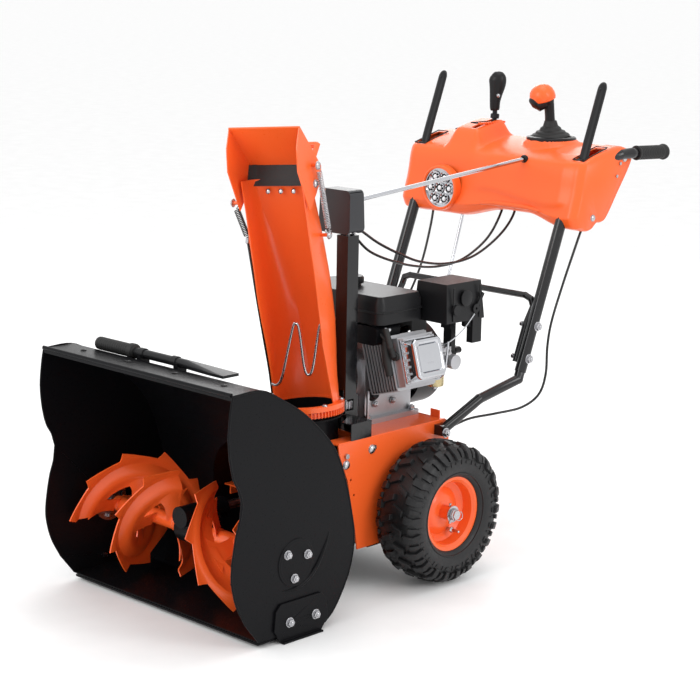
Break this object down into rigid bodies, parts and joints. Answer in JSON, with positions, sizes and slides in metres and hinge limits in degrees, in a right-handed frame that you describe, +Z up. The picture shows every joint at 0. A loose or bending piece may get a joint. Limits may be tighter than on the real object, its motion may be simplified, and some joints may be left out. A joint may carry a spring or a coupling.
{
  "type": "two stage snowblower",
  "caption": "Walk-behind petrol snowblower with serrated augers, blower drum, turning chute with deflector, engine, driven wheels and a handlebar control panel.",
  "frame": {"origin": "bottom centre of the whole machine, on the ground under the middle of its box", "axes": "+Z up, -Y the way the intake faces, +Y towards the operator, +X the operator's left"},
  "size_m": [0.65, 1.472, 1.1289],
  "materials": {
    "orange_sheet": "gloss powder coat",
    "black_sheet": "satin black powder coat",
    "black_tube": "gloss black",
    "orange_plastic": "moulded",
    "black_plastic": "fine grain",
    "grey_plastic": "fine grain",
    "rubber": "matt",
    "tyre": "matt",
    "cast": "as cast",
    "chrome": "polished",
    "zinc": "zinc plated",
    "steel": "machined",
    "cable": "black sleeve"
  },
  "bodies": {
    "chassis": {"auger_housing": "black_sheet", "side_plates": "black_sheet", "impeller_drum": "black_sheet", "scraper_bar": "black_sheet", "skid_shoes": "black_sheet", "shaft_bearings": "steel", "frame_bolts": "zinc", "auger_gearbox": "black_sheet", "frame": "orange_sheet", "bottom_cover": "black_sheet", "belt_cover": "black_plastic", "chute_post": "black_tube", "chute_gear_cover": "grey_plastic", "engine_block": "cast", "valve_cover": "chrome", "fan_housing": "black_plastic", "fuel_tank": "black_plastic", "muffler": "black_sheet", "carburetor": "cast", "heater_box": "black_plastic", "spark_plug": "rubber", "lower_handles": "black_tube", "upper_handles": "black_tube", "crossbar": "black_tube", "grips": "rubber", "control_panel": "orange_plastic", "headlight": "chrome", "drive_belts": "rubber", "control_cables": "cable"},
    "impeller_body": {"impeller": "orange_sheet", "impeller_shaft": "steel"},
    "auger_body": {"auger_shaft": "steel", "auger_left": "orange_sheet", "auger_right": "orange_sheet", "shear_bolts": "zinc"},
    "crank_body": {"crankshaft": "steel"},
    "disc_body": {"friction_disc": "steel"},
    "axle_body": {"axle": "steel", "wheel_rims": "orange_sheet", "tyres": "tyre", "hub_pins": "zinc"},
    "hex_body": {"hex_shaft": "steel"},
    "friction_wheel_body": {"friction_wheel": "rubber"},
    "chute_body": {"chute": "orange_sheet", "hinge_flap": "rubber", "deflector_springs": "steel"},
    "deflector_body": {"deflector": "orange_sheet"},
    "chute_drive_body": {"chute_drive": "steel"},
    "rod_body": {"control_rod": "chrome"},
    "gimbal_body": {"joystick_gimbal": "black_plastic"},
    "joystick_body": {"joystick": "black_plastic"},
    "shift_body": {"shift_lever": "black_plastic"},
    "shift_rod_body": {"shift_rod": "chrome"},
    "paddle_left_body": {"paddle_left": "black_plastic"},
    "paddle_right_body": {"paddle_right": "black_plastic"},
    "idler_body": {"idler_arm": "steel"},
    "throttle_body": {"throttle_lever": "black_plastic"},
    "recoil_body": {"recoil_handle": "black_plastic"},
    "fuel_cap_body": {"fuel_cap": "black_plastic"},
    "tool_body": {"clean_out_tool": "black_plastic"}
  },
  "joints": [
    {"name": "impeller_spin", "type": "hinge", "parent": "chassis", "child": "impeller_body", "pos_m": [0, -0.285, 0.205], "axis": [0, 1, 0], "continuous": true},
    {"name": "auger_spin", "type": "hinge", "parent": "chassis", "child": "auger_body", "pos_m": [0, -0.544, 0.167], "axis": [1, 0, 0], "continuous": true},
    {"name": "crank_spin", "type": "hinge", "parent": "chassis", "child": "crank_body", "pos_m": [0, -0.155, 0.456], "axis": [0, 1, 0], "continuous": true},
    {"name": "disc_spin", "type": "hinge", "parent": "chassis", "child": "disc_body", "pos_m": [0, -0.135, 0.24], "axis": [0, 1, 0], "continuous": true},
    {"name": "axle_spin", "type": "hinge", "parent": "chassis", "child": "axle_body", "pos_m": [0, -0.035, 0.165], "axis": [1, 0, 0], "continuous": true},
    {"name": "hex_spin", "type": "hinge", "parent": "chassis", "child": "hex_body", "pos_m": [0, -0.057, 0.24], "axis": [1, 0, 0], "continuous": true},
    {"name": "friction_wheel_slide", "type": "slide", "parent": "hex_body", "child": "friction_wheel_body", "axis": [1, 0, 0], "range_m": [-0.012, 0.062]},
    {"name": "chute_rotate", "type": "hinge", "parent": "chassis", "child": "chute_body", "pos_m": [0.06, -0.275, 0.42], "axis": [-0.0713, -0.0232, 0.9972], "range_deg": [-104, 50]},
    {"name": "deflector_tilt", "type": "hinge", "parent": "chute_body", "child": "deflector_body", "pos_m": [0.04336, -0.3456, 0.92059], "axis": [0.9484, 0.3081, 0.075], "range_deg": [0, 45], "deforming": ["deflector_springs"]},
    {"name": "chute_drive_spin", "type": "hinge", "parent": "chassis", "child": "chute_drive_body", "pos_m": [0.09, -0.178, 0.5], "axis": [0, 0, 1], "range_deg": [-255.85, 530]},
    {"name": "control_rod_spin", "type": "hinge", "parent": "chassis", "child": "rod_body", "pos_m": [0.09, -0.168, 0.872], "axis": [0.0245, 0.9949, 0.0979], "range_deg": [-255.85, 530]},
    {"name": "joystick_side", "type": "hinge", "parent": "chassis", "child": "gimbal_body", "pos_m": [0.087, 0.543, 0.946], "axis": [0, 1, 0], "range_deg": [-12, 21]},
    {"name": "joystick_fore_aft", "type": "hinge", "parent": "gimbal_body", "child": "joystick_body", "pos_m": [0.087, 0.543, 0.946], "axis": [1, 0, 0], "range_deg": [-0.5, 16.5]},
    {"name": "shift_lever_pivot", "type": "hinge", "parent": "chassis", "child": "shift_body", "pos_m": [-0.1, 0.525, 0.905], "axis": [1, 0, 0], "range_deg": [-5, 28]},
    {"name": "shift_rod_slide", "type": "slide", "parent": "chassis", "child": "shift_rod_body", "axis": [0, -0.3, -0.9539], "range_m": [-0.006, 0.026]},
    {"name": "paddle_left_press", "type": "hinge", "parent": "chassis", "child": "paddle_left_body", "pos_m": [0.256, 0.451, 0.932], "axis": [-1, 0, 0], "range_deg": [0, 40], "stiffness_Nm_per_rad": 2, "springref_deg": -20.05},
    {"name": "paddle_right_press", "type": "hinge", "parent": "chassis", "child": "paddle_right_body", "pos_m": [-0.256, 0.451, 0.932], "axis": [-1, 0, 0], "range_deg": [0, 40], "stiffness_Nm_per_rad": 2, "springref_deg": -20.05},
    {"name": "idler_swing", "type": "hinge", "parent": "chassis", "child": "idler_body", "pos_m": [-0.118, -0.18, 0.285], "axis": [0, 1, 0], "range_deg": [0, 12]},
    {"name": "throttle_turn", "type": "hinge", "parent": "chassis", "child": "throttle_body", "pos_m": [0.217, 0.121, 0.612], "axis": [1, 0, 0], "range_deg": [0, 60]},
    {"name": "recoil_pull", "type": "slide", "parent": "chassis", "child": "recoil_body", "axis": [0, 1, 0], "range_m": [0, 0.45], "stiffness_N_per_m": 20, "springref_m": -0.05},
    {"name": "fuel_cap_turn", "type": "hinge", "parent": "chassis", "child": "fuel_cap_body", "pos_m": [-0.02, -0.055, 0.665], "axis": [0, 0, 1], "range_deg": [0, 90]},
    {"name": "tool_lift", "type": "slide", "parent": "chassis", "child": "tool_body", "axis": [0, 0, 1], "range_m": [0, 0.2]}
  ],
  "couplings": [
    {"joint": "auger_spin", "follows": "impeller_spin", "ratio": -0.1},
    {"joint": "crank_spin", "follows": "impeller_spin", "ratio": 2.5885},
    {"joint": "disc_spin", "follows": "impeller_spin", "ratio": 1.5417},
    {"joint": "hex_spin", "follows": "axle_spin", "ratio": -4},
    {"joint": "friction_wheel_slide", "follows": "shift_lever_pivot", "m_per_rad": 0.12},
    {"joint": "shift_rod_slide", "follows": "shift_lever_pivot", "m_per_rad": 0.047},
    {"joint": "chute_drive_spin", "follows": "chute_rotate", "ratio": -5.0769},
    {"joint": "control_rod_spin", "follows": "chute_rotate", "ratio": -5.0769},
    {"joint": "joystick_side", "follows": "chute_rotate", "ratio": -0.19231},
    {"joint": "joystick_fore_aft", "follows": "deflector_tilt", "ratio": 0.35},
    {"joint": "idler_swing", "follows": "paddle_right_press", "ratio": 0.2963}
  ]
}
